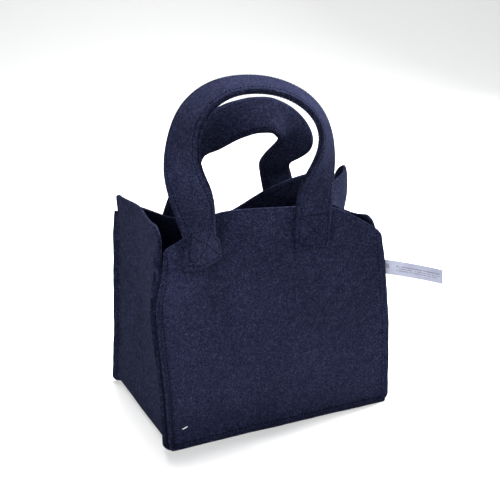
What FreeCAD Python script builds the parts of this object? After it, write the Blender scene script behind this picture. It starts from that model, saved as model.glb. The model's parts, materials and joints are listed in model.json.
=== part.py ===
"""Felt knitting bag with two strap handles.

Millimetres, +Z up. The origin is at the centre of the base, on the surface the bag stands on.
The front panel faces -Y, and +X is to the right of a person who looks at the front.

The body is three pieces of felt: a front panel, a back panel of the same cut, and one long
gusset that makes both sides and the base. The seams are turned outwards. Each handle is a
strap of two plies, sewn flat on its panel with a box and a cross at each end.
"""
import FreeCAD, Part
import math
import os

Vector = FreeCAD.Vector

# ---- driving dimensions -------------------------------------------------------------
bag_width = 240.0           # over the raw edges of the side seams
bag_depth = 160.0           # between the outer faces of the front and back panels
felt = 3.5                  # thickness of the felt
seam_allowance = 7.5        # felt outside the inner face of the gusset, at each seam
seam_top = 186.0            # height of the upper end of the side seams
crown = 221.0               # height of the panels in the middle
side_top = 214.0            # height of the gusset at its two ends
panel_corner = 6.0          # rounding of the panels' lower corners
gusset_bend = 9.0           # outer radius where the gusset turns from side to base
side_shoulder = 20.0        # how far the gusset's upper corners are rounded, along Y

strap_width = 38.0
leg_spacing = 117.0         # between the middles of the two legs of a handle
front_offset = -26.0        # middle of the front handle, along X
rear_offset = 5.0           # middle of the rear handle, along X
strap_foot = 176.0          # height of the sewn ends' lower edge
strap_hold = 221.0          # above this height the strap is free of the panel
bend_height = 229.0         # height of the line about which a handle folds
bend_gap = 8.0              # from that line to the strap on each side of it
bend_proud = 0.8            # how far that line lies in front of the strap's outer face
arch_half_width = 69.5      # widest half width of an arch, to the middle of the strap
front_rise = 104.0          # from the bend line to the top of the front arch, along the handle
front_twist = 70.0          # degrees that the strap has turned at the top of the front arch
rear_rise = 68.0            # the rear handle has sunk, and its strap hardly turns
rear_twist = 0.0
rear_lean = 25.0            # degrees that the rear handle leans over the mouth
ply_gap = 0.1               # between any two layers that are sewn together

thread = 0.7                # sewing thread, as it lies on the felt
stitch_inset = 4.0          # from the strap's edges to its stitching
label_length = 62.0
label_height = 15.0
label_thickness = 0.5
label_turn = 32.0           # degrees that the label points forwards from +X
label_foot = 139.0          # height of the label's lower edge
tack_length = 7.0
tack_place = (-101.0, 17.0)  # middle of the white tack stitch on the front panel, X and Z
tack_tilt = 14.0            # degrees

half_width = bag_width / 2
half_depth = bag_depth / 2
inner_half_width = half_width - seam_allowance


def save(name, solids):
    """Write one node. A group of separate solids becomes one file."""
    shape = solids[0] if len(solids) == 1 else Part.makeCompound(solids)
    for solid in shape.Solids:
        if not solid.isValid():
            raise ValueError(name + " is not a valid solid")
    shape.exportStep("parts/" + name + ".step")
    box = shape.BoundBox
    print("%-32s %d solid(s) %9.0f mm3  x %.1f..%.1f  y %.1f..%.1f  z %.1f..%.1f" % (
        name, len(shape.Solids), shape.Volume, box.XMin, box.XMax, box.YMin, box.YMax,
        box.ZMin, box.ZMax))


def slab(wire, y_low, y_high):
    """A flat piece whose outline is a wire in the plane y = 0."""
    face = Part.Face(wire)
    face.translate(Vector(0, y_low, 0))
    return face.extrude(Vector(0, y_high - y_low, 0))


def line(x1, z1, x2, z2):
    return Part.LineSegment(Vector(x1, 0, z1), Vector(x2, 0, z2)).toShape()


def corner_arc(cx, cz, radius, start, end):
    """Arc about (cx, cz) in the plane y = 0, angles in degrees from +X towards +Z."""
    points = []
    for angle in (start, (start + end) / 2, end):
        turn = math.radians(angle)
        points.append(Vector(cx + radius * math.cos(turn), 0, cz + radius * math.sin(turn)))
    return Part.Arc(*points).toShape()


# ---- body ---------------------------------------------------------------------------
def trough_outline(half, foot, radius, top_edges, top):
    """Outline open at the top: base, two rounded lower corners, two sides, then the top."""
    edges = [line(-half + radius, foot, half - radius, foot)]
    edges.append(corner_arc(half - radius, foot + radius, radius, -90, 0))
    edges.append(line(half, foot + radius, half, top))
    edges += top_edges
    edges.append(line(-half, top, -half, foot + radius))
    edges.append(corner_arc(-half + radius, foot + radius, radius, 180, 270))
    return Part.Wire(edges)


def panel_outline():
    """Front and back panels: square below, with a low wave along the top."""
    start = seam_top - 4
    half_wave = [(half_width, start), (half_width - 3.5, seam_top + 4),
                 (half_width - 14, crown - 22.5), (half_width - 30, crown - 14),
                 (half_width - 50, crown - 7), (half_width - 75, crown - 2)]
    points = [Vector(x, 0, z) for x, z in half_wave]
    points.append(Vector(0, 0, crown))
    points += [Vector(-x, 0, z) for x, z in reversed(half_wave)]
    wave = Part.BSplineCurve()
    wave.interpolate(points)
    return trough_outline(half_width, 0, panel_corner, [wave.toShape()], start)


def trough(half, y_low, y_high, radius):
    """A U-shaped channel as thick as the felt, from the gusset's inner face outwards."""
    inner_radius = gusset_bend - felt
    height = crown + 10
    outer = trough_outline(half, 0, radius, [line(half, height, -half, height)], height)
    inner = trough_outline(inner_half_width, felt, inner_radius,
                           [line(inner_half_width, height, -inner_half_width, height)], height)
    return slab(outer, y_low, y_high).cut(slab(inner, y_low - 1, y_high + 1))


def gusset_side_profile(reach):
    """Everything under the gusset's top edge, which is rounded down to the seams."""
    shoulder_y = reach - side_shoulder
    corner = Vector(0, reach - 0.22 * side_shoulder, side_top - 0.30 * (side_top - seam_top))
    far_corner = Vector(0, -corner.y, corner.z)
    points = [Vector(0, -reach, 0), Vector(0, reach, 0), Vector(0, reach, seam_top),
              Vector(0, shoulder_y, side_top), Vector(0, -shoulder_y, side_top),
              Vector(0, -reach, seam_top)]
    edges = [Part.LineSegment(points[0], points[1]).toShape(),
             Part.LineSegment(points[1], points[2]).toShape(),
             Part.Arc(points[2], corner, points[3]).toShape(),
             Part.LineSegment(points[3], points[4]).toShape(),
             Part.Arc(points[4], far_corner, points[5]).toShape(),
             Part.LineSegment(points[5], points[0]).toShape()]
    face = Part.Face(Part.Wire(edges))
    face.translate(Vector(-half_width - 1, 0, 0))
    return face.extrude(Vector(bag_width + 2, 0, 0))


def make_gusset():
    """One strip for both sides and the base, with its seam allowances turned outwards."""
    reach = half_depth - felt - ply_gap
    web = trough(inner_half_width + felt, -reach + felt, reach - felt, gusset_bend)
    front_lip = trough(half_width, -reach, -reach + felt, panel_corner)
    back_lip = trough(half_width, reach - felt, reach, panel_corner)
    strip = web.fuse([front_lip, back_lip]).common(gusset_side_profile(reach))
    return strip.removeSplitter()


def seam_thread():
    """The line of stitches that joins a panel to the gusset, in the plane y = 0."""
    inset = seam_allowance - 1.5
    top = seam_top - 2
    outer = trough_outline(half_width - inset, inset, panel_corner,
                           [line(half_width - inset, top, inset - half_width, top)], top)
    low = inset + thread
    inner_half = half_width - low
    above = top + 1
    inner = trough_outline(inner_half, low, panel_corner - thread,
                           [line(inner_half, above, -inner_half, above)], above)
    return slab(outer, 0, thread).cut(slab(inner, -1, thread + 1))


def mirrored(shape):
    """The same piece on the back of the bag."""
    return shape.mirror(Vector(0, 0, 0), Vector(0, 1, 0))


def make_body():
    front = slab(panel_outline(), -half_depth, -half_depth + felt)
    save("front_panel", [front])
    save("back_panel", [mirrored(front)])
    save("gusset", [make_gusset()])
    stitches = seam_thread()
    stitches.translate(Vector(0, -half_depth - ply_gap - thread, 0))
    save("front_seam_thread", [stitches])
    save("back_seam_thread", [mirrored(stitches)])


# ---- handles ------------------------------------------------------------------------
# A handle is worked out upright at the front: X across, Z up, -Y away from the bag. The
# middle of its strap's thickness is at y = 0 and its bend line is at z = 0.
def arch_curve(rise):
    """Middle line of the strap, from the left leg over the top to the right leg."""
    half = leg_spacing / 2
    span = rise - bend_gap
    right = [(half, bend_gap), (half + 2, bend_gap + 0.18 * span),
             (arch_half_width - 1.5, bend_gap + 0.39 * span),
             (arch_half_width, bend_gap + 0.56 * span),
             (0.87 * arch_half_width, bend_gap + 0.80 * span),
             (0.52 * arch_half_width, bend_gap + 0.96 * span)]
    points = [Vector(-x, 0, z) for x, z in right] + [Vector(0, 0, rise)]
    points += [Vector(x, 0, z) for x, z in reversed(right)]
    curve = Part.BSplineCurve()
    curve.interpolate(points)
    return curve


def strap_frames(curve, top_twist, stations=33):
    """Along the arch: the middle point, the direction to the inner edge, and the normal."""
    frames = []
    first, last = curve.FirstParameter, curve.LastParameter
    for step in range(stations):
        share = step / (stations - 1)
        place = first + (last - first) * share
        tangent = Vector(curve.tangent(place)[0])
        outwards = Vector(-tangent.z, 0, tangent.x)
        twist = math.radians(top_twist) * math.sin(math.pi * share) ** 0.9
        away = Vector(0, -1, 0)
        inward = outwards * -math.cos(twist) + away * math.sin(twist)
        normal = away * math.cos(twist) + outwards * math.sin(twist)
        frames.append((curve.value(place), inward, normal))
    return frames


def strap_layer(frames, edge_low, edge_high, face_low, face_high):
    """A solid that follows the strap: a span of its width and a span of its thickness."""
    rails = []
    for edge, face in ((edge_low, face_low), (edge_high, face_low),
                       (edge_high, face_high), (edge_low, face_high)):
        curve = Part.BSplineCurve()
        curve.interpolate([middle + inward * edge + normal * face
                           for middle, inward, normal in frames])
        rails.append(curve)
    faces = []
    for index in range(4):
        here, following = rails[index], rails[(index + 1) % 4]
        faces.append(Part.makeRuledSurface(here.toShape(), following.toShape()))
    for corners in ([rail.StartPoint for rail in rails], [rail.EndPoint for rail in rails]):
        faces.append(Part.Face(Part.makePolygon(corners + corners[:1])))
    shell = Part.Shell(Part.makeCompound(faces).Faces)
    shell.sewShape()
    solid = Part.Solid(shell)
    if solid.Volume < 0:
        solid.reverse()
    return solid


def block(x_low, x_high, y_low, y_high, z_low, z_high):
    return Part.makeBox(x_high - x_low, y_high - y_low, z_high - z_low,
                        Vector(x_low, y_low, z_low))


def box_stitch():
    """A square of stitches with a cross, lying on y = 0 and centred on x = 0, z = 0."""
    half = strap_width / 2 - stitch_inset
    bars = []
    for side in (-1, 1):
        inner, outer = sorted((side * half, side * (half - thread)))
        bars.append(block(inner, outer, -thread, 0, -half, half))
        bars.append(block(-half, half, -thread, 0, inner, outer))
        diagonal = block(-half * math.sqrt(2) + thread, half * math.sqrt(2) - thread,
                         -thread, 0, -thread / 2, thread / 2)
        diagonal.rotate(Vector(0, 0, 0), Vector(0, 1, 0), side * 45)
        bars.append(diagonal)
    return bars[0].fuse(bars[1:]).removeSplitter()


def make_handle(name, offset, rise, twist, lean, place):
    """Write one handle's nodes. place puts a shape of the front handle where it belongs."""
    face = -half_depth - ply_gap
    strap_middle = face - felt - ply_gap / 2
    frames = strap_frames(arch_curve(rise), twist)
    half = strap_width / 2

    bend_line = Vector(0, -ply_gap / 2 - felt - bend_proud, 0)

    def set_up(shape):
        shape.rotate(bend_line, Vector(1, 0, 0), -lean)
        shape.translate(Vector(offset, strap_middle, bend_height))
        return place(shape)

    gap = ply_gap / 2
    outer = strap_layer(frames, -half, half, gap, gap + felt)
    inner = strap_layer(frames, -half, half, -gap - felt, -gap)
    save(name + "_handle_outer_ply", [set_up(outer)])
    save(name + "_handle_inner_ply", [set_up(inner)])

    row = half - stitch_inset
    rows = []
    for side in (-1, 1):
        low, high = sorted((side * row, side * (row - thread)))
        rows.append(set_up(strap_layer(frames, low, high, felt + 3 * gap, felt + 3 * gap + thread)))
    save(name + "_handle_topstitching", rows)

    outer_ends = []
    inner_ends = []
    for side, word in ((-1, "left"), (1, "right")):
        middle = offset + side * leg_spacing / 2
        inner_face = face - felt
        outer_face = inner_face - ply_gap
        inner_ends.append(place(block(middle - half, middle + half, inner_face, face,
                                      strap_foot, strap_hold)))
        outer_ends.append(place(block(middle - half, middle + half, outer_face - felt,
                                      outer_face, strap_foot, strap_hold)))
        stitches = box_stitch()
        stitches.translate(Vector(middle, outer_face - felt - ply_gap, strap_foot + half))
        save(name + "_" + word + "_box_stitch", [place(stitches)])
    save(name + "_handle_outer_ply_ends", outer_ends)
    save(name + "_handle_inner_ply_ends", inner_ends)


# ---- label and tack -----------------------------------------------------------------
def make_label():
    """A woven tape caught in the right front seam; its sewn end is inside the seam."""
    start = half_width + 0.4
    middle_y = -half_depth + felt + ply_gap / 2
    label = block(start, start + label_length, middle_y - label_thickness / 2,
                  middle_y + label_thickness / 2, label_foot, label_foot + label_height)
    label.rotate(Vector(start, middle_y, 0), Vector(0, 0, 1), -label_turn)
    save("care_label", [label])


def make_tack():
    """One short white stitch near the lower left corner of the front panel."""
    stitch = Part.makeCylinder(thread, tack_length, Vector(-tack_length / 2, 0, 0),
                               Vector(1, 0, 0))
    stitch.rotate(Vector(0, 0, 0), Vector(0, 1, 0), -tack_tilt)
    x, z = tack_place
    stitch.translate(Vector(x, -half_depth - thread - ply_gap, z))
    save("white_tack_stitch", [stitch])


def main():
    os.makedirs("parts", exist_ok=True)
    make_body()
    make_handle("front", front_offset, front_rise, front_twist, 0.0, lambda shape: shape)
    make_handle("rear", rear_offset, rear_rise, rear_twist, rear_lean, mirrored)
    make_label()
    make_tack()


main()
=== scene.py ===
"""Felt knitting bag: the visible model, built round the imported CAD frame.

The felt pieces are laid out as flat cuts with their seam allowances turned out, then one smooth
field of small pulls settles them into the soft stance of the real bag. Everything that is sewn
to the bag goes through the same field.
"""
import json
import math

import bmesh
import bpy
import numpy as np
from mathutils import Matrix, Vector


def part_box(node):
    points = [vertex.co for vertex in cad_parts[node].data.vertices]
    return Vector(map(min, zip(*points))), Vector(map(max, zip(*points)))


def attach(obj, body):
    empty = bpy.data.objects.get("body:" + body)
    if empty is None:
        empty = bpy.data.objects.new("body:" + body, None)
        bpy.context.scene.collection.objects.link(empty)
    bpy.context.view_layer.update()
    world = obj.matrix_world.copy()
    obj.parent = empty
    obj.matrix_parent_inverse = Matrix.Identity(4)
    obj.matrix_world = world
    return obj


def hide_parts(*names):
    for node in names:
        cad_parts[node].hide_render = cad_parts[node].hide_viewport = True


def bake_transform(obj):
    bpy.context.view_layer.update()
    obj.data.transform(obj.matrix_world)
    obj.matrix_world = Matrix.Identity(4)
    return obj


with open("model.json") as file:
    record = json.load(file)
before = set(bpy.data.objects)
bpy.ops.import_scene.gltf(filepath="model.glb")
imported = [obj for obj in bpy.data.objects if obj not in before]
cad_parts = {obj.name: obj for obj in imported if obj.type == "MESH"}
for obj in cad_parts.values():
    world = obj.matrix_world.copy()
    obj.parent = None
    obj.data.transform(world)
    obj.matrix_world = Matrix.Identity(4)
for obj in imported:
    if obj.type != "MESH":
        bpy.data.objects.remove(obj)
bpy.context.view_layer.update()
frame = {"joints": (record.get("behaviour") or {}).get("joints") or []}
MM = 0.001

# ---- sizes taken from the frame -----------------------------------------------------
def in_mm(box):
    """The lower and the upper corner of a box, in millimetres."""
    return [np.array(corner) / MM for corner in box]


panel_low, panel_high = in_mm(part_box("front_panel"))
ply_low, ply_high = in_mm(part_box("front_handle_outer_ply_ends"))
rear_low, rear_high = in_mm(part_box("rear_handle_outer_ply_ends"))
box_low, box_high = in_mm(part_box("front_left_box_stitch"))
label_low, label_high = in_mm(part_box("care_label"))
tack_low, tack_high = in_mm(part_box("white_tack_stitch"))
gusset_high = in_mm(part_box("gusset"))[1]
thread_high = in_mm(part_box("front_seam_thread"))[1]

felt = panel_high[1] - panel_low[1]
half_width = panel_high[0]
half_depth = -panel_low[1]
crown = panel_high[2]
side_top = gusset_high[2]
seam_top = thread_high[2] + 2.0         # upper end of a side seam's felt
strap_foot = ply_low[2]
stitch_inset = box_low[0] - ply_low[0]
strap_width = box_high[0] - box_low[0] + 2 * stitch_inset
leg_spacing = ply_high[0] - ply_low[0] - strap_width
front_offset = (ply_low[0] + ply_high[0]) / 2
rear_offset = (rear_low[0] + rear_high[0]) / 2
hinges = {joint["name"]: np.array(joint["pos_m"]) / MM for joint in frame["joints"]}

seam_allowance = 7.8        # felt beyond the crease at a seam
side_crease = half_width - 8.2
base_crease = 6.4           # height of the crease over the front and back bottom edges
gusset_crease = half_depth - 4.2
flange_turn = 55.0          # degrees that each ply turns out at a side seam
base_turn = 58.0            # and at the bottom edge, where the floor lifts it
gusset_radius = 5.0         # of the gusset's middle surface, from side to base
gusset_inset = 7.5          # from the side seams' raw edges to the gusset's inner face
flutter = 0.16              # size of the waves that stitching leaves along a seam

edge_round = 1.1            # width of the rounding along a cut edge
edge_share = 0.78           # of the felt's thickness that is left at the edge
edge_bulge = 0.35           # how far the middle of a cut edge stands out
edge_shade_width = 1.5             # width of the band of painted shade along a cut edge
floor_gap = 0.05            # the lowest that any point of the felt may lie

bottom_band = 13.5          # finer rows along a panel's bottom edge,
rim_band = 3.5              # and along its rim
rows_short = 24.0           # the rows between them span seam_top less this much, in stations
hem_lift = 3.4              # raises the turned bottom edge to the level of the floor

stitch_pitch, box_pitch = 3.4, 3.2
stitch_share = 0.80         # of the pitch that shows as thread
path_step = 1.5             # between the points that a row of stitches follows
# thread radii: along the seams, on the straps, and inside the bag behind the straps' feet
seam_radius, strap_radius, inside_radius = 0.36, 0.42, 0.34

rng = np.random.default_rng(7)


# ---- the field of pulls -------------------------------------------------------------
# (place on the flat-sided bag, how far the felt there has moved)
pulls = [((x, y, 0), (0, 2 if y < 0 else 0, 0)) for x in (-40, 40) for y in (-80, 0, 80)]
pulls += [  # base: its left edge bulges a little
    ((-120, -80, 0), (-5, 1, 0)),
    ((-120, 0, 0), (-5, 0, 0)),
    ((-120, 80, 0), (-4, 2, 0)),
    ((120, -80, 0), (0, 2, 0)),
    ((120, 0, 0), (0, 0, 0)),
    ((120, 80, 0), (0, 0, 0)),
]
pulls += [  # half way up
    ((-120, -80, 55), (-8, -2, 0)),
    ((-120, -80, 110), (-12, -2, 0)),
    ((-118, -80, 150), (-13, -2, 0)),
    ((0, -80, 95), (0, -4, 0)),
    ((120, -80, 95), (-4, 3, 0)),
    ((-118, 0, 100), (2, 0, 0)),
    ((-118, 80, 100), (1, 0, 0)),
    ((0, 80, 100), (0, 3, 0)),
    ((118, 80, 100), (8, 0, 0)),
    ((118, 0, 100), (-8, 0, 0)),
]
pulls += [  # front rim: it leans back, and turns away under the left foot of the handle
    ((-118, -80, 186), (-10, -2, 3)),
    ((-104, -80, 172), (-5, -9, -1)),
    ((-100, -80, 202), (-3, -2, 0)),
    ((-62, -80, 174), (1, 14, -2)),
    ((-64, -80, 205), (1, 25, -3)),
    ((0, -80, 221), (0, 18, -6)),
    ((58, -80, 214), (0, 17, -8)),
    ((118, -80, 186), (-7, 13, -8)),
]
pulls += [  # back rim: the rear handle draws its middle in and down
    ((-112, 80, 190), (2, -6, 4)),
    ((-58, 80, 212), (0, -20, -35)),
    ((0, 80, 221), (0, -24, -39)),
    ((58, 80, 212), (0, -22, -11)),
    ((112, 80, 192), (24, -6, 14)),
]
pulls += [  # upper ends of the gusset: the right one is folded inwards
    ((-116, -52, 212), (-7, 0, -1)),
    ((-116, 0, 214), (-2, 0, 1)),
    ((-116, 60, 210), (-2.5, -2, 0)),
    ((116, 46, 186), (24, 0, 2)),
    ((116, 58, 212), (27, -5, 4)),
    ((116, 0, 214), (-30, 8, -11)),
    ((116, -52, 212), (-15, 8, -21)),
]
pull_at = np.array([p for p, _ in pulls], float)
pull_by = np.array([d for _, d in pulls], float)
pull_softness = 16.0


def pull_kernel(places):
    gaps = places[:, None, :] - pull_at[None, :, :]
    return np.sqrt((gaps ** 2).sum(2) + pull_softness ** 2) / 100


def pull_plane(places):
    return np.c_[np.ones(len(places)), places / 100]


def fit_pulls():
    count = len(pull_at)
    system = np.zeros((count + 4, count + 4))
    system[:count, :count] = pull_kernel(pull_at)
    system[:count, count:] = pull_plane(pull_at)
    system[count:, :count] = pull_plane(pull_at).T
    return np.linalg.solve(system, np.vstack([pull_by, np.zeros((4, 3))]))


pull_weights = fit_pulls()


def settle(places):
    """Where points of the flat-sided bag lie on the soft one."""
    places = np.asarray(places, float)
    flat = places.reshape(-1, 3)
    moved = flat + np.c_[pull_kernel(flat), pull_plane(flat)] @ pull_weights
    x, y, z = flat.T
    height = np.clip(z / 60, 0, 1)
    moved[:, 1] += height * 0.9 * np.sin(x / 31 + 1.1 + z / 74) * np.cos(z / 43 + 0.4)
    moved[:, 0] += height * 0.8 * np.sin(y / 26 + 0.5) * np.cos(z / 39 + 1.3)
    moved[:, 2] = np.maximum(moved[:, 2], 0.15)
    return moved.reshape(places.shape)


# ---- small mesh tools ---------------------------------------------------------------
def new_piece(name, points, faces, material):
    mesh = bpy.data.meshes.new(name)
    mesh.from_pydata((np.asarray(points) * MM).tolist(), [], faces)
    shape = bmesh.new()
    shape.from_mesh(mesh)
    bmesh.ops.recalc_face_normals(shape, faces=shape.faces)
    shape.to_mesh(mesh)
    shape.free()
    mesh.polygons.foreach_set("use_smooth", [True] * len(mesh.polygons))
    mesh.materials.append(material)
    piece = bpy.data.objects.new(name, mesh)
    bpy.context.scene.collection.objects.link(piece)
    return piece


def unit(vectors):
    return vectors / np.maximum(np.linalg.norm(vectors, axis=-1, keepdims=True), 1e-9)


def grid_normals(grid):
    along = np.gradient(grid, axis=0)
    across = np.gradient(grid, axis=1)
    return unit(np.cross(along, across))


def grid_faces(rows, columns, first=0, flip=False):
    faces = []
    for r in range(rows - 1):
        for c in range(columns - 1):
            a = first + r * columns + c
            quad = (a, a + 1, a + columns + 1, a + columns)
            faces.append(quad[::-1] if flip else quad)
    return faces


def border(rows, columns):
    """Indices round the edge of a grid, in order."""
    ring = list(range(columns - 1))
    ring += [r * columns + columns - 1 for r in range(rows - 1)]
    ring += [(rows - 1) * columns + c for c in range(columns - 1, 0, -1)]
    ring += [r * columns for r in range(rows - 1, 0, -1)]
    return ring


def edge_distance(steps):
    """For each station along one side of a grid, its distance from the nearer end."""
    return np.minimum(steps - steps[0], steps[-1] - steps)


def with_edges(start, stop, step, extra=()):
    """Stations from start to stop, closer together at both ends, where the edge is rounded."""
    margin = 2.0
    count = max(2, int(round((stop - start - 2 * margin) / step)))
    inner = np.linspace(start + margin, stop - margin, count)
    ends = [start, start + 0.4, start + edge_round, stop - edge_round, stop - 0.4, stop]
    return np.unique(np.round(np.r_[ends, inner, list(extra)], 4))


def crease_stations(crease):
    """Stations close to the creases of a strip that has one at each side."""
    return [sign * (crease + step) for sign in (-1, 1) for step in (-2, -1, 0, 1, 2, 4)]


class Sheet:
    """A sheet of felt: a grid of its middle surface, with stations in millimetres."""

    def __init__(self, rows, columns, surface, thickness, outward=1):
        self.rows, self.columns = rows, columns
        self.surface = surface
        self.outward = outward
        self.normals = grid_normals(surface)
        self.inward = np.minimum(edge_distance(rows)[:, None], edge_distance(columns)[None, :])
        into = np.clip(self.inward / edge_round, 0, 1)
        fullness = edge_share + (1 - edge_share) * np.sqrt(1 - (1 - into) ** 2)
        self.half = thickness / 2 * fullness

    def place(self, row, column, lift=0.0, side=1):
        """A point on one face of the sheet, and the outward direction there."""
        r = np.interp(row, self.rows, np.arange(len(self.rows)))
        c = np.interp(column, self.columns, np.arange(len(self.columns)))
        r0 = np.minimum(r.astype(int), len(self.rows) - 2)
        c0 = np.minimum(c.astype(int), len(self.columns) - 2)
        fr, fc = (r - r0)[:, None], (c - c0)[:, None]

        def mix(grid):
            low = grid[r0, c0] * (1 - fc) + grid[r0, c0 + 1] * fc
            high = grid[r0 + 1, c0] * (1 - fc) + grid[r0 + 1, c0 + 1] * fc
            return low * (1 - fr) + high * fr

        normal = unit(mix(self.normals)) * side * self.outward
        return mix(self.surface) + normal * (mix(self.half[:, :, None]) + lift), normal

    def piece(self, name, material):
        """The solid piece: two faces, joined round the edge by a bulging band."""
        rows, columns = len(self.rows), len(self.columns)
        count = rows * columns
        offset = self.normals * self.half[:, :, None]
        outer = (self.surface + offset).reshape(-1, 3)
        inner = (self.surface - offset).reshape(-1, 3)
        ring = border(rows, columns)
        centre = self.surface.reshape(-1, 3)
        outwards = np.zeros((len(ring), 3))
        for i, index in enumerate(ring):
            r, c = divmod(index, columns)
            r_in = min(max(r, 1), rows - 2)
            c_in = min(max(c, 1), columns - 2)
            outwards[i] = centre[index] - centre[r_in * columns + c_in]
        middle = centre[ring] + unit(outwards) * edge_bulge
        points = np.vstack([outer, inner, middle])
        points[:, 2] = np.maximum(points[:, 2], floor_gap)
        faces = grid_faces(rows, columns)
        faces += grid_faces(rows, columns, count, flip=True)
        for i, a in enumerate(ring):
            b = ring[(i + 1) % len(ring)]
            middle_a, middle_b = 2 * count + i, 2 * count + (i + 1) % len(ring)
            faces.append((b, a, middle_a, middle_b))
            faces.append((middle_b, middle_a, a + count, b + count))
        piece = new_piece(name, points, faces, material)
        # raw_edge marks the cut edges, which the felt material darkens as painted shade
        raw = np.clip(1 - self.inward.reshape(-1) / edge_shade_width, 0, 1)
        layer = piece.data.attributes.new("raw_edge", "FLOAT", "POINT")
        layer.data.foreach_set("value", np.r_[raw, raw, np.ones(len(ring))].astype(np.float32))
        return piece


def turned(stations, crease, angle, softness=9.0):
    """Run and rise of a strip that turns by angle past the crease, station by station."""
    fine = np.arange(0, stations.max() + 0.1, 0.1)
    share = np.clip((fine - crease + softness / 2) / softness, 0, 1)
    bend = math.radians(angle) * share * share * (3 - 2 * share)
    run = np.r_[0, np.cumsum(np.cos(bend[1:]) * 0.1)]
    lift = np.r_[0, np.cumsum(np.sin(bend[1:]) * 0.1)]
    signs = np.sign(stations)
    return signs * np.interp(abs(stations), fine, run), np.interp(abs(stations), fine, lift)


# ---- stitches -----------------------------------------------------------------------
def stitch_mesh(starts, ends, normals, radius, points, faces):
    """Each stitch is a short bar of thread that dips into the felt at both ends."""
    # (share of the length, rise and girth in thread radii)
    profile = [(0.0, -1.5, 0.55), (0.14, -0.25, 0.95), (0.38, 0.25, 1.05),
               (0.62, 0.25, 1.05), (0.86, -0.25, 0.95), (1.0, -1.5, 0.55)]
    around = 6
    for start, end, normal in zip(starts, ends, normals):
        along = end - start
        side = np.cross(along, normal)
        side = side / max(np.linalg.norm(side), 1e-9)
        first = len(points)
        for share, rise, girth in profile:
            middle = start + along * share + normal * radius * rise
            for k in range(around):
                turn = 2 * math.pi * k / around
                around_thread = side * math.cos(turn) + normal * math.sin(turn)
                points.append(middle + radius * girth * around_thread)
        for ring in range(len(profile) - 1):
            for k in range(around):
                a = first + ring * around + k
                b = first + ring * around + (k + 1) % around
                faces.append((a, b, b + around, a + around))
        faces.append(tuple(first + k for k in range(around))[::-1])
        last = first + (len(profile) - 1) * around
        faces.append(tuple(last + k for k in range(around)))


def row_of_stitches(path, normals, pitch, share, radius, points, faces):
    """Stitches of nearly even pitch along a path of points."""
    lengths = np.r_[0, np.cumsum(np.linalg.norm(np.diff(path, axis=0), axis=1))]
    count = max(1, int(lengths[-1] / pitch))
    spacing = lengths[-1] / count
    begin = np.arange(count) * spacing + spacing * (1 - share) / 2
    begin = begin + rng.normal(0, 0.04 * pitch, count)
    end = begin + spacing * share

    def at(distance, values):
        return np.stack([np.interp(distance, lengths, values[:, k]) for k in range(3)], 1)

    directions = unit(at((begin + end) / 2, normals))
    stitch_mesh(at(begin, path), at(end, path), directions, radius, points, faces)


# ---- materials ----------------------------------------------------------------------
class Nodes:
    """Short names for building a node tree."""

    def __init__(self, name):
        self.material = bpy.data.materials.new(name)
        self.material.use_nodes = True
        self.tree = self.material.node_tree
        self.shader = self.tree.nodes["Principled BSDF"]
        self.coordinates = self.tree.nodes.new("ShaderNodeTexCoord")

    def link(self, source, target):
        self.tree.links.new(source, target)

    def noise(self, scale, detail=4.0, roughness=0.6, distortion=0.0, stretch=None, turn=None):
        source = self.coordinates.outputs["Object"]
        if stretch is not None:
            mapping = self.tree.nodes.new("ShaderNodeMapping")
            mapping.inputs["Scale"].default_value = stretch
            if turn is not None:
                mapping.inputs["Rotation"].default_value = [math.radians(a) for a in turn]
            self.link(source, mapping.inputs["Vector"])
            source = mapping.outputs["Vector"]
        node = self.tree.nodes.new("ShaderNodeTexNoise")
        node.inputs["Scale"].default_value = scale
        node.inputs["Detail"].default_value = detail
        node.inputs["Roughness"].default_value = roughness
        node.inputs["Distortion"].default_value = distortion
        self.link(source, node.inputs["Vector"])
        return node.outputs["Fac"]

    def ramp(self, factor, stops):
        node = self.tree.nodes.new("ShaderNodeValToRGB")
        elements = node.color_ramp.elements
        while len(elements) < len(stops):
            elements.new(0.5)
        for element, (position, color) in zip(elements, stops):
            element.position = position
            element.color = (*color, 1) if len(color) == 3 else color
        self.link(factor, node.inputs["Fac"])
        return node.outputs["Color"]

    def math(self, operation, first, second):
        node = self.tree.nodes.new("ShaderNodeMath")
        node.operation = operation
        for socket, value in zip(node.inputs, (first, second)):
            if isinstance(value, (int, float)):
                socket.default_value = value
            else:
                self.link(value, socket)
        return node.outputs[0]

    def mix(self, mode, factor, first, second):
        node = self.tree.nodes.new("ShaderNodeMix")
        node.data_type = "RGBA"
        node.blend_type = mode
        # the names Factor, A, B and Result are shared by every data type: these are the colours'
        sockets = (node.inputs[0], node.inputs[6], node.inputs[7])
        for socket, value in zip(sockets, (factor, first, second)):
            if isinstance(value, (int, float)):
                socket.default_value = value
            elif isinstance(value, tuple):
                socket.default_value = (*value, 1)
            else:
                self.link(value, socket)
        return node.outputs[2]

    def bump(self, height, strength, distance, after=None):
        node = self.tree.nodes.new("ShaderNodeBump")
        node.inputs["Strength"].default_value = strength
        node.inputs["Distance"].default_value = distance
        self.link(height, node.inputs["Height"])
        if after is not None:
            self.link(after, node.inputs["Normal"])
        return node.outputs["Normal"]


def grey(value):
    return (value, value, value)


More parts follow.
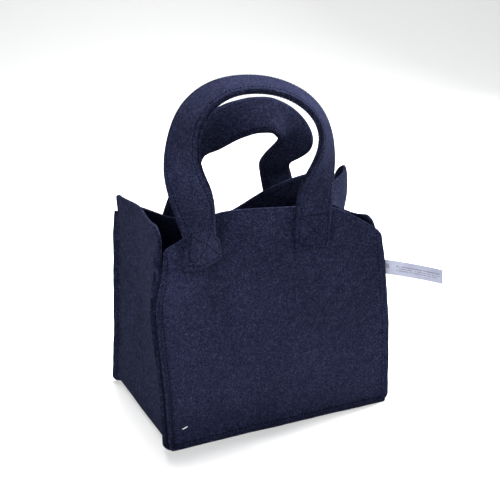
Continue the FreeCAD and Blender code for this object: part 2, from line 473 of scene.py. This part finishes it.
def felt_material(name, tint=1.0, grain=1.0):
    """Melange needle felt: matted fibres of several blues, a little pilled, with a soft sheen."""
    n = Nodes(name)
    fibres = n.noise(1250 * grain, 4, 0.75, 1.2)
    flecks = n.noise(560 * grain, 3, 0.7, 0.9)
    long_a = n.noise(520 * grain, 3, 0.6, 1.4, (1.0, 0.30, 1.0), (20, 35, 60))
    long_b = n.noise(520 * grain, 3, 0.6, 1.4, (0.30, 1.0, 0.5), (70, 15, 10))
    mottle = n.noise(120, 3, 0.6, 0.4)
    cloud = n.noise(15, 3, 0.5)
    strands = n.math("MAXIMUM", long_a, long_b)
    # a tint below 1 makes a darker copy of this felt: painted shade
    dark = (0.0022 * tint, 0.0026 * tint, 0.0078 * tint)
    middle = (0.0086 * tint, 0.0100 * tint, 0.0262 * tint)
    light = (0.0248 * tint, 0.0286 * tint, 0.0630 * tint)
    pale = (0.0720 * tint, 0.0790 * tint, 0.1460 * tint)
    base = n.ramp(fibres, [(0.34, dark), (0.47, middle), (0.58, light), (0.72, pale)])
    fleck = n.ramp(flecks, [(0.36, dark), (0.48, middle), (0.56, light), (0.70, pale)])
    strand_colour = n.ramp(strands, [(0.50, dark), (0.60, middle), (0.67, light)])
    colour = n.mix("MIX", 0.50, base, fleck)
    colour = n.mix("MIX", 0.25, colour, strand_colour)
    mottled = n.ramp(mottle, [(0.30, grey(0.88)), (0.70, grey(1.12))])
    colour = n.mix("MULTIPLY", 1.0, colour, mottled)
    clouded = n.ramp(cloud, [(0.32, grey(0.90)), (0.68, grey(1.10))])
    colour = n.mix("MULTIPLY", 1.0, colour, clouded)
    # painted shade along the cut edges: where raw_edge is set, the colour is mixed towards darker
    # flecks
    edge = n.tree.nodes.new("ShaderNodeAttribute")
    edge.attribute_name = "raw_edge"
    edge_shade_share = n.math("MULTIPLY", edge.outputs["Fac"], 0.85)
    edge_shade_colour = n.ramp(flecks, [(0.45, dark), (0.66, light)])
    colour = n.mix("MIX", edge_shade_share, colour, edge_shade_colour)
    n.link(colour, n.shader.inputs["Base Color"])
    rough = n.ramp(mottle, [(0.2, grey(0.86)), (0.8, grey(1.0))])
    n.link(rough, n.shader.inputs["Roughness"])
    n.shader.inputs["Specular IOR Level"].default_value = 0.0
    n.shader.inputs["Sheen Weight"].default_value = 0.02
    n.shader.inputs["Sheen Roughness"].default_value = 0.55
    n.shader.inputs["Sheen Tint"].default_value = (0.62, 0.68, 0.95, 1)
    height = n.math("ADD", n.math("MULTIPLY", strands, 0.6), n.math("ADD", fibres, flecks))
    matted = n.bump(height, 0.75, 0.00055)
    pilled = n.bump(mottle, 0.35, 0.0012, matted)
    n.link(pilled, n.shader.inputs["Normal"])
    return n.material


def thread_material(name, colour, shade, roughness):
    """Twisted sewing thread."""
    n = Nodes(name)
    twist = n.noise(2600, 2, 0.5, 0.0, (1.0, 1.0, 0.25), (30, 40, 0))
    stain = n.noise(90, 3, 0.6)
    fibre = n.ramp(twist, [(0.35, tuple(c * shade for c in colour)), (0.62, colour)])
    worn = n.ramp(stain, [(0.3, grey(0.8)), (0.7, grey(1.1))])
    n.link(n.mix("MULTIPLY", 1.0, fibre, worn), n.shader.inputs["Base Color"])
    n.shader.inputs["Roughness"].default_value = roughness
    n.shader.inputs["Specular IOR Level"].default_value = 0.0
    n.link(n.bump(twist, 0.6, 0.00018), n.shader.inputs["Normal"])
    return n.material


def tape_material(name):
    """White satin tape, woven crosswise, with plain grey bars where a label has its lines."""
    n = Nodes(name)
    uv = n.coordinates.outputs["UV"]
    split = n.tree.nodes.new("ShaderNodeSeparateXYZ")
    n.link(uv, split.inputs[0])
    along, across = split.outputs[0], split.outputs[1]

    def wave(source, turns):
        return n.math("SINE", n.math("MULTIPLY", source, turns * 2 * math.pi), 0.0)

    def between(source, low, high):
        above = n.math("GREATER_THAN", source, low)
        below = n.math("LESS_THAN", source, high)
        return n.math("MULTIPLY", above, below)

    weave = n.math("MULTIPLY", wave(along, 190), wave(across, 46))
    smudge = n.noise(70, 4, 0.6)
    clean = n.ramp(smudge, [(0.30, (0.27, 0.285, 0.385)), (0.70, (0.37, 0.39, 0.50))])
    bars = None
    for low, high, first, last in bar_places:
        bar = n.math("MULTIPLY", between(along, first, last), between(across, low, high))
        bars = bar if bars is None else n.math("MAXIMUM", bars, bar)
    dashes = n.math("GREATER_THAN", n.noise(640, 1, 0.5), 0.44)
    ink = n.math("MULTIPLY", bars, dashes)
    colour = n.mix("MIX", ink, clean, (0.16, 0.16, 0.21))
    n.link(colour, n.shader.inputs["Base Color"])
    n.shader.inputs["Roughness"].default_value = 0.42
    n.shader.inputs["Sheen Weight"].default_value = 0.15
    n.link(n.bump(weave, 0.35, 0.00012), n.shader.inputs["Normal"])
    return n.material


# (lower edge, upper edge, start, end) of each bar, as shares of the label's width and length
bar_places = [(0.60, 0.68, 0.30, 0.95), (0.46, 0.52, 0.34, 0.95), (0.32, 0.38, 0.30, 0.90),
              (0.40, 0.74, 0.06, 0.20)]

panel_felt = felt_material("navy_melange_felt")
shaded_side_felt = felt_material("navy_melange_felt_side_painted_shade", 0.74, 0.6)     # a coarser grain; tint 0.74 darkens the sides as painted shade
# the straps' copy is darkened by tint 0.82 as painted shade
shaded_strap_felt = felt_material("navy_melange_felt_strap_painted_shade", 0.82)
navy_thread = thread_material("navy_sewing_thread", (0.0028, 0.0034, 0.0084), 0.5, 0.8)
white_thread = thread_material("white_sewing_thread", (0.82, 0.82, 0.84), 0.7, 0.6)
label_tape = tape_material("white_satin_tape")


# ---- front and back panels ----------------------------------------------------------
def panel_top(x):
    """Height of the cut's upper edge: a crown that falls to 4 mm under the seams' ends."""
    share = np.clip(abs(x) / half_width, 0, 1)
    return crown - (crown - seam_top + 4) * (1 - (1 - share ** 2.8) ** 0.7)


def narrowing(z):
    """How much of a seam allowance is trimmed off near the upper end of its seam."""
    length = 34
    near = np.clip((z - seam_top + length) / length, 0, 1)
    return 0.62 * near * near


def seam_ripple(distance, seed):
    """Small waves that stitching leaves in felt."""
    return (np.sin(distance / 3.1 + seed) * 0.5 + np.sin(distance / 7.3 + 2 * seed)
            + np.sin(distance / 17.0 + 3 * seed))


def panel_row(x, z):
    """The row station of a panel at a height well above its bottom edge."""
    return (bottom_band + (z - bottom_band) * (seam_top - rows_short)
            / (panel_top(x) - bottom_band - rim_band))


def make_panel(side, seed):
    """side is -1 for the front panel and 1 for the back one."""
    edge = side_crease + seam_allowance
    columns = with_edges(-edge, edge, 3.0, crease_stations(side_crease))
    shares = np.linspace(0, 1, 66)[1:-1]
    low_rows = np.array([0, 0.4, 1.1, 2.2, 3.4, 4.6, 5.6, 6.6, 7.6, 9.0, 11.0, bottom_band])
    top_rows = np.array([rim_band, 2.2, 1.1, 0.4, 0.0])
    across, across_rise = turned(columns, side_crease, flange_turn)
    top = panel_top(columns)
    rows = np.r_[low_rows, bottom_band + shares * (seam_top - rows_short), seam_top - top_rows]
    grid = np.zeros((len(rows), len(columns), 3))
    down = seam_allowance + base_crease
    hem = np.linspace(0, down, 60)
    hanging, hanging_rise = turned(hem, base_crease, base_turn)
    for i, u in enumerate(columns):
        along = np.r_[low_rows, bottom_band + shares * (top[i] - bottom_band - rim_band),
                      top[i] - top_rows]
        # under its crease the bottom edge turns outwards, and over it the wall goes straight up
        lower = np.clip(down - along, 0, down)
        drop = np.interp(lower, hem, hanging)
        out = np.interp(lower, hem, hanging_rise)
        z = hem_lift + base_crease + np.where(along < down, -drop, along - down)
        z = z + np.clip(along / 40, 0, 1) * (down - hem_lift - base_crease)
        # the side's allowance turns out too, ripples, and is trimmed near its upper end
        into_flange = max(abs(u) - side_crease, 0)
        fade = min(into_flange / seam_allowance, 1)
        rise = np.maximum(across_rise[i], out) + 0.15 * np.minimum(across_rise[i], out)
        side_wave = seam_ripple(along, seed + np.sign(u)) * flutter * fade
        low_wave = seam_ripple(u + 0 * along, seed + 4) * flutter * np.clip(out / 4, 0, 1)
        trim = into_flange * narrowing(z) * (0.2 if u > 0 else 1.0)
        grid[:, i, 0] = across[i] - np.sign(u) * trim * 0.8
        grid[:, i, 1] = side * (half_depth - felt / 2 + rise - trim * 0.4 + side_wave + low_wave)
        grid[:, i, 2] = z
    # the two lower corners are rounded off
    corner_width, corner_height, corner_radius = 16, 14, 12.5
    rounding = np.hypot(np.maximum(abs(grid[:, :, 0]) - half_width + corner_width, 0),
                        np.maximum(corner_height - grid[:, :, 2], 0))
    squeeze = np.clip((rounding - corner_radius) / 8, 0, 1) * (grid[:, :, 2] < corner_height)
    grid[:, :, 0] -= np.sign(grid[:, :, 0]) * squeeze * 2.6
    grid[:, :, 1] -= side * squeeze * 1.0
    grid[:, :, 2] += squeeze * 2.2
    return Sheet(rows, columns, settle(grid), felt, outward=side)


front_panel = make_panel(-1, 1.0)
back_panel = make_panel(1, 2.6)


# ---- gusset -------------------------------------------------------------------------
def gusset_top(y):
    """Height of the gusset's end: level, with its corners rounded down to the seams."""
    shoulder = 17.0
    into = np.clip((abs(y) - (gusset_high[1] - shoulder)) / shoulder, 0, 1)
    return seam_top + (side_top - seam_top) * (1 - into ** 2.0) ** 0.55


def make_gusset():
    """One strip: the left wall from its top, the base, and the right wall to its top."""
    reach = gusset_crease + seam_allowance
    columns = with_edges(-reach, reach, 3.2, crease_stations(gusset_crease))
    wall_x = half_width - gusset_inset + felt / 2
    radius = gusset_radius
    wall = side_top - radius
    wall_steps = np.r_[0, 0.4, 1.1, 2.2, 3.5, np.linspace(6, wall, 64)]
    bend_steps = np.linspace(0, math.pi / 2, 9)[1:]
    base_steps = np.linspace(0, 2 * (wall_x - radius), 60)[1:-1]
    rows = []
    stations = []
    for share in wall_steps:
        rows.append(("wall", share, -1))
        stations.append(share)
    for angle in bend_steps:
        rows.append(("bend", angle, -1))
        stations.append(wall + radius * angle)
    for run in base_steps:
        rows.append(("base", run, 0))
        stations.append(wall + radius * math.pi / 2 + run)
    base_end = wall + radius * math.pi / 2 + 2 * (wall_x - radius)
    for angle in [0, *bend_steps][::-1]:
        rows.append(("bend", angle, 1))
        stations.append(base_end + radius * (math.pi / 2 - angle))
    for share in wall_steps[::-1][1:]:
        rows.append(("wall", share, 1))
        stations.append(base_end + radius * math.pi / 2 + wall - share)
    side_run, side_rise = turned(columns, gusset_crease, flange_turn)
    base_run, base_rise = turned(columns, gusset_crease, 4.0)
    top = gusset_top(columns)
    grid = np.zeros((len(rows), len(columns), 3))
    pressed = np.ones((len(rows), len(columns)))
    past = np.clip((abs(columns) - gusset_crease) / 3, 0, 1)
    for r, (part, share, sign) in enumerate(rows):
        if part == "wall":
            kept = 1 - share / wall
            x = sign * wall_x * np.ones(len(columns))
            z = radius + felt / 2 + (top - radius - felt / 2) * kept
            z = np.where(share < 5, top - share, z)
            outward = np.array([sign, 0, 0])
            flat = 0.0
        elif part == "bend":
            x = sign * (wall_x - radius + radius * math.cos(share)) * np.ones(len(columns))
            z = (felt / 2 + radius - radius * math.sin(share)) * np.ones(len(columns))
            outward = np.array([sign * math.cos(share), 0, -math.sin(share)])
            flat = share / (math.pi / 2)
        else:
            x = (-wall_x + radius + share) * np.ones(len(columns))
            z = felt / 2 * np.ones(len(columns))
            outward = np.array([0, 0, -1.0])
            flat = 1.0
        run = side_run * (1 - flat) + base_run * flat
        lift = side_rise * (1 - flat) + base_rise * flat
        wave = seam_ripple(stations[r] + 0 * columns, 5.0) * flutter * past * (1 - flat)
        trim = np.maximum(abs(columns) - gusset_crease, 0) * narrowing(z) * (1 - flat)
        grid[r, :, 0] = x + outward[0] * (lift + wave - trim * 0.4)
        grid[r, :, 1] = run - np.sign(columns) * trim * 0.8
        grid[r, :, 2] = np.maximum(z + outward[2] * lift, 0.9)
        pressed[r] = 1 - 0.5 * past * flat
    # its grid runs from the back seam to the front one, so that the first face looks outwards
    sheet = Sheet(np.array(stations), columns, settle(grid)[:, ::-1], felt)
    sheet.half = sheet.half * pressed[:, ::-1]
    return sheet


gusset = make_gusset()


# ---- handles ------------------------------------------------------------------------
class Handle:
    """A strap of two plies from one sewn foot, over the arch, to the other.

    Each row of the route is (x from the handle's middle, height over the fold line, depth
    behind the sewn ends' face, angle of the outer edge from +X, turn towards the back).
    """

    def __init__(self, offset, side, route, passes):
        self.side, self.offset = side, offset
        self.panel = front_panel if side < 0 else back_panel
        hinge = hinges["front_handle_fold" if side < 0 else "rear_handle_fold"]
        half = leg_spacing / 2
        columns = with_edges(-strap_width / 2, strap_width / 2, 2.6,
                             [s * (strap_width / 2 - stitch_inset + d) for s in (-1, 1)
                              for d in (-0.9, 0, 0.9)])
        face = half_depth + felt + 0.15     # between the two plies, clear of the panel
        sewn_height, foot_step = 23, 3.7
        heights = np.arange(strap_foot, strap_foot + sewn_height, foot_step)

        def foot(leg):
            """The sewn end, flat on its panel: leg is -1 for the left one and 1 for the right."""
            x, z = np.meshgrid(offset + leg * (half + columns), heights)
            points, _ = self.panel.place(panel_row(x, z).ravel(), x.ravel(), felt + 0.15)
            return points.reshape(*x.shape, 3)

        controls = []
        for x, height, depth, angle, turn in route:
            angle, turn = math.radians(angle), math.radians(turn)
            outer = np.array([math.cos(angle) * math.cos(turn), math.sin(turn),
                              math.sin(angle) * math.cos(turn)])
            centre = np.array([offset + x, side * face - side * depth, hinge[2] + height])
            controls.append(centre[None, :] + outer[None, :] * columns[:, None])
        left, right = foot(-1), foot(1)[::-1]
        keys = np.concatenate([left, np.array(controls), right])
        middle = keys[:, len(columns) // 2]
        lengths = np.r_[0, np.cumsum(np.linalg.norm(np.diff(middle, axis=0), axis=1))]
        even = np.linspace(0, lengths[-1], int(lengths[-1] / 2.2))
        flat = keys.reshape(len(keys), -1)
        grid = np.stack([np.interp(even, lengths, flat[:, k]) for k in range(flat.shape[1])], 1)
        raw = grid.copy()
        for _ in range(passes):
            grid[1:-1] = grid[1:-1] * 0.5 + (grid[:-2] + grid[2:]) * 0.25
        sewn_length = lengths[len(heights) - 1]
        sewn = np.clip((sewn_length - edge_distance(even)) / 5, 0, 1)[:, None]
        grid = grid * (1 - sewn) + raw * sewn
        grid = grid.reshape(len(even), len(columns), 3)
        centre = grid.mean(1, keepdims=True)
        wide = unit(grid[:, -1] - grid[:, 0])[:, None, :]
        true_width = centre + wide * columns[None, :, None]
        grid = true_width * (1 - sewn[:, :, None]) + grid * sewn[:, :, None]
        self.grid = grid
        steps = np.linalg.norm(np.diff(grid[:, len(columns) // 2], axis=0), axis=1)
        self.rows = np.r_[0, np.cumsum(steps)]
        self.columns = columns

    def ply(self, layer):
        """layer is 1 for the outer ply and -1 for the inner one."""
        normals = grid_normals(self.grid)
        if normals[0, 0, 1] * self.side < 0:
            normals = -normals
        row = strap_width / 2 - stitch_inset
        pinch = np.exp(-((abs(self.columns) - row) / 0.9) ** 2)
        flare = np.clip((abs(self.columns) - row) / stitch_inset, 0, 1)
        lift = felt / 2 + 0.05 - 0.70 * flare - 0.10 * pinch
        surface = self.grid + normals * (layer * lift)[None, :, None]
        sheet = Sheet(self.rows, self.columns, surface, felt)
        if (sheet.normals[0, 0] @ normals[0, 0]) * layer < 0:
            sheet = Sheet(self.rows, self.columns[::-1] * -1, surface[:, ::-1], felt)
        sheet.half = sheet.half * (1 - 0.13 * pinch - 0.40 * flare)[None, :]
        return sheet


front_route = [
    (-67, 10, 5, 180, 14), (-73, 28, 8, 180, 50), (-75, 46, 8, 176, 65), (-73, 63, 6, 166, 72),
    (-67.5, 80.5, 5, 150, 76), (-54, 95, 4, 128, 80), (-35.5, 103, 4, 108, 80),
    (-14, 104.5, 4, 94, 78), (8.5, 102, 4, 80, 75), (30, 94.5, 4, 64, 70), (49, 82.5, 5, 46, 62),
    (62, 67, 6, 24, 55), (68, 50, 8, 6, 48), (68.5, 34, 10, 0, 37), (64.5, 17, 13, -2, 20),
    (60, 3, 13, 0, 6),
]
# the rear strap has sunk into the mouth, and is folded over at its right shoulder
rear_route = [
    (-45, -8, 20, 180, -30), (-47, 10, 30, 174, -36), (-45, 25, 36, 152, -28),
    (-36, 34, 40, 130, -22), (-22, 43.5, 41, 112, 6), (-5, 51, 42, 98, 24),
    (18, 55.5, 42, 89, 31), (40, 54.5, 42, 84, 30), (56, 45, 41, 55, 22), (69, 31, 42, 0, 0),
    (68, 21, 42, -16, -18), (57, 11, 36, -12, -8), (49, 2, 29, -4, 6), (54, -9, 21, 2, 12),
]
front_handle = Handle(front_offset, -1, front_route, 44)
rear_handle = Handle(rear_offset, 1, rear_route, 10)


# ---- make the felt pieces -----------------------------------------------------------
def on_body(piece, body, slot, *nodes):
    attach(piece, body)
    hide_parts(*nodes)
    return piece


on_body(front_panel.piece("front_felt_panel", panel_felt), "body", "navy_felt", "front_panel")
on_body(back_panel.piece("back_felt_panel", panel_felt), "body", "navy_felt", "back_panel")
on_body(gusset.piece("felt_gusset", shaded_side_felt), "body", "navy_felt", "gusset")


def across_fold(piece, name, slot, *nodes):
    """Bakes the piece's transform into its mesh and hides the frame's parts that it replaces."""
    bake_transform(piece)
    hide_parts(*nodes)
    return piece


plies = {}
for name, handle in (("front", front_handle), ("rear", rear_handle)):
    for layer, word in ((1, "outer"), (-1, "inner")):
        sheet = handle.ply(layer)
        plies[name, word] = sheet
        piece = sheet.piece(name + "_strap_" + word + "_ply", shaded_strap_felt)
        node = name + "_handle_" + word + "_ply"
        across_fold(piece, name, "navy_felt", node, node + "_ends")


# ---- seams and topstitching ---------------------------------------------------------
def make_seam(name, panel, side, nodes):
    """Stitches down one side, along the bottom and up the other: a row on the panel and one
    on the gusset, each on its outer face."""
    points, faces = [], []
    line = side_crease + 2.6
    foot = base_crease + 0.6
    top = seam_top - 3.0
    down = np.arange(top, foot + 4, -path_step)
    along = np.arange(-line + 4, line - 3.9, path_step)
    corner = np.linspace(0, math.pi / 2, 6)[1:-1]
    u = np.r_[-line + 0 * down, -line + 4 - 4 * np.cos(corner), along,
              line - 4 + 4 * np.sin(corner), line + 0 * down]
    v = np.r_[down, foot + 4 - 4 * np.sin(corner), foot + 0 * along,
              foot + 4 - 4 * np.cos(corner), down[::-1]]
    path, normals = panel.place(v, u, -0.05)
    row_of_stitches(path, normals, stitch_pitch, stitch_share, seam_radius, points, faces)
    from_top = side_top - seam_top + 4.0
    wall = np.arange(from_top, gusset.rows[-1] - from_top, path_step)
    path, normals = gusset.place(wall, -side * (gusset_crease + 2.4) + 0 * wall, -0.05)
    row_of_stitches(path, normals, stitch_pitch, stitch_share, seam_radius, points, faces)
    piece = new_piece(name, points, faces, navy_thread)
    on_body(piece, "body", "navy_thread", *nodes)


make_seam("front_seam_stitches", front_panel, -1, ["front_seam_thread"])
make_seam("back_seam_stitches", back_panel, 1, ["back_seam_thread"])

for name, handle in (("front", front_handle), ("rear", rear_handle)):
    total = handle.rows[-1]
    row = strap_width / 2 - stitch_inset
    points, faces = [], []
    run = np.arange(stitch_inset, total - stitch_inset, path_step)
    for word in ("outer", "inner"):
        for sign in (-1, 1):
            path, normals = plies[name, word].place(run, sign * row + 0 * run, -0.12)
            row_of_stitches(path, normals, stitch_pitch, stitch_share, strap_radius,
                            points, faces)
    piece = new_piece(name + "_strap_topstitches", points, faces, navy_thread)
    across_fold(piece, name, "navy_thread", name + "_handle_topstitching")
    sheet = plies[name, "outer"]
    low, high = stitch_inset, stitch_inset + 2 * row
    for word, origin, direction in (("left", 0.0, 1), ("right", total, -1)):
        bars = [((low, -row), (low, row)), ((high, -row), (high, row)),
                ((low, -row), (high, row)), ((low, row), (high, -row))]
        points, faces = [], []
        for (s0, a0), (s1, a1) in bars:
            share = np.linspace(0.03, 0.97, 24)
            s = origin + direction * (s0 + (s1 - s0) * share)
            path, normals = sheet.place(s, a0 + (a1 - a0) * share, -0.12)
            row_of_stitches(path, normals, box_pitch, stitch_share, strap_radius, points, faces)
            x = handle.offset + (leg_spacing / 2) * -direction + a0 + (a1 - a0) * share
            z = strap_foot + abs(s - origin)
            inside, facing = handle.panel.place(panel_row(x, z), x, -0.05, -1)
            row_of_stitches(inside, facing, box_pitch, stitch_share, inside_radius,
                            points, faces)
        piece = new_piece(name + "_" + word + "_box_and_cross", points, faces, navy_thread)
        on_body(piece, "body", "navy_thread", name + "_" + word + "_box_stitch")


# ---- label --------------------------------------------------------------------------
def make_label_piece():
    height = label_high[2] - label_low[2]
    root = hinges["label_swing"]
    reach = np.array([label_high[0], label_low[1]]) - root[:2]
    length = float(np.hypot(*reach))
    heading = math.atan2(reach[1], reach[0])
    columns = np.linspace(-height / 2, height / 2, 13)
    rows = np.linspace(-6, length, 60)      # the first 6 mm are caught in the seam
    start = settle(np.array([[root[0] - 1.2, root[1] - 1.0, label_low[2] + height / 2]]))[0]
    grid = np.zeros((len(rows), len(columns), 3))
    share = np.clip(rows / length, 0, 1)
    bend = heading - math.radians(9) + math.radians(24) * share
    step = np.diff(rows, prepend=rows[0])
    fall = math.radians(-3) - math.radians(13) * share
    x = np.cumsum(step * np.cos(bend) * np.cos(fall))
    y = np.cumsum(step * np.sin(bend) * np.cos(fall))
    z = np.cumsum(step * np.sin(fall))
    zero = np.argmin(abs(rows))
    for k, line in enumerate((x, y, z)):
        line = line - line[zero]
        grid[:, :, k] = line[:, None] + start[k]
    roll = math.radians(7) * share
    grid[:, :, 2] += columns[None, :] * np.cos(roll)[:, None]
    grid[:, :, 1] += columns[None, :] * np.sin(roll)[:, None]
    waves = (0.7 * np.sin(rows / 9.0) * share)[:, None]
    grid[:, :, 1] += waves * (columns[None, :] / height)
    normals = grid_normals(grid)
    thick = 0.25
    outer = (grid + normals * thick).reshape(-1, 3)
    inner = (grid - normals * thick).reshape(-1, 3)
    count = len(rows) * len(columns)
    faces = grid_faces(len(rows), len(columns))
    faces += grid_faces(len(rows), len(columns), count, flip=True)
    ring = border(len(rows), len(columns))
    for i, a in enumerate(ring):
        b = ring[(i + 1) % len(ring)]
        faces.append((b, a, a + count, b + count))
    piece = new_piece("side_label", np.vstack([outer, inner]), faces, label_tape)
    layer = piece.data.uv_layers.new(name="UVMap")
    u = np.repeat((rows - rows[0]) / (rows[-1] - rows[0]), len(columns))
    v = np.tile((columns - columns[0]) / height, len(rows))
    for loop in piece.data.loops:
        index = loop.vertex_index % count
        layer.data[loop.index].uv = (u[index], v[index])
    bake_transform(piece)
    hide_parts("care_label")
    return piece


make_label_piece()


# ---- white tack ---------------------------------------------------------------------
def make_tack():
    length = tack_high[0] - tack_low[0] - 1.0
    centre = (tack_low + tack_high) / 2
    tilt = math.radians(14)
    u = centre[0] + np.linspace(-length / 2, length / 2, 9) * math.cos(tilt)
    v = centre[2] + np.linspace(-length / 2, length / 2, 9) * math.sin(tilt) + 4.0
    path, normals = front_panel.place(v, u, 0.1)
    points, faces = [], []
    row_of_stitches(path, normals, length, 0.98, 0.5, points, faces)
    on_body(new_piece("white_tack", points, faces, white_thread), "body", "white_thread",
            "white_tack_stitch")


make_tack()


# ---- stage, light, camera -----------------------------------------------------------
def stage_material(name, colour):
    n = Nodes(name)
    n.shader.inputs["Base Color"].default_value = (*colour, 1)
    n.shader.inputs["Roughness"].default_value = 0.9
    n.shader.inputs["Emission Color"].default_value = (1, 1, 1, 1)
    n.shader.inputs["Emission Strength"].default_value = 0.34
    return n.material


def make_stage():
    """A pale floor that curves up into a wall behind the bag."""
    floor_half, floor_side, wall_top, curve, curve_steps = 3200, 4000, 3000, 1200, 8
    bend_at = floor_half - curve
    profile = [(-floor_half, 0.0), (bend_at, 0.0)]
    for k in range(1, curve_steps + 1):
        turn = math.pi / 2 * k / curve_steps
        profile.append((bend_at + curve * math.sin(turn), curve - curve * math.cos(turn)))
    profile.append((floor_half, wall_top))
    points = [(x, y, z) for x in (-floor_side, floor_side) for y, z in profile]
    count = len(profile)
    faces = [(k, k + count, k + count + 1, k + 1) for k in range(count - 1)]
    floor = new_piece("floor", points, faces, stage_material("pale_floor", (0.50, 0.50, 0.50)))
    floor.rotation_euler = (0, 0, math.radians(-25))


def area_light(name, place, aim, size, power, colour=(1, 1, 1)):
    data = bpy.data.lights.new(name, "AREA")
    data.shape = "DISK"
    data.size = size
    data.energy = power
    data.color = colour
    light = bpy.data.objects.new(name, data)
    bpy.context.scene.collection.objects.link(light)
    light.location = place
    direction = Vector(aim) - Vector(place)
    light.rotation_euler = direction.to_track_quat("-Z", "Y").to_euler()


make_stage()
# place, aim and size in metres, power in watts
area_light("key", (-0.53, -0.50, 0.38), (0, 0, 0.12), 0.4, 4.5)
area_light("top", (0.25, 0.50, 2.0), (0, 0, 0.2), 1.2, 125)
area_light("right", (1.5, 0.28, 0.95), (0.05, 0, 0.2), 0.6, 110)

world = bpy.data.worlds.new("studio")
bpy.context.scene.world = world
world.use_nodes = True
background = world.node_tree.nodes["Background"]
background.inputs["Color"].default_value = (0.90, 0.94, 1.0, 1)
background.inputs["Strength"].default_value = 0.18
bpy.context.scene.view_settings.view_transform = "Standard"

camera_yaw, camera_pitch = 25.4, 17.6    # degrees right of +Y, and down
camera_distance = 0.908
camera_aim = Vector((0, 0, 0.1557))
camera_data = bpy.data.cameras.new("camera")
camera_data.lens = 64.8
camera_data.sensor_width = 36.0
camera = bpy.data.objects.new("camera", camera_data)
bpy.context.scene.collection.objects.link(camera)
yaw, pitch = math.radians(camera_yaw), math.radians(camera_pitch)
forward = Vector((math.sin(yaw) * math.cos(pitch), math.cos(yaw) * math.cos(pitch),
                     -math.sin(pitch)))
camera.location = camera_aim - forward * camera_distance
camera.rotation_euler = (math.pi / 2 - pitch, 0, -yaw)
bpy.context.scene.camera = camera
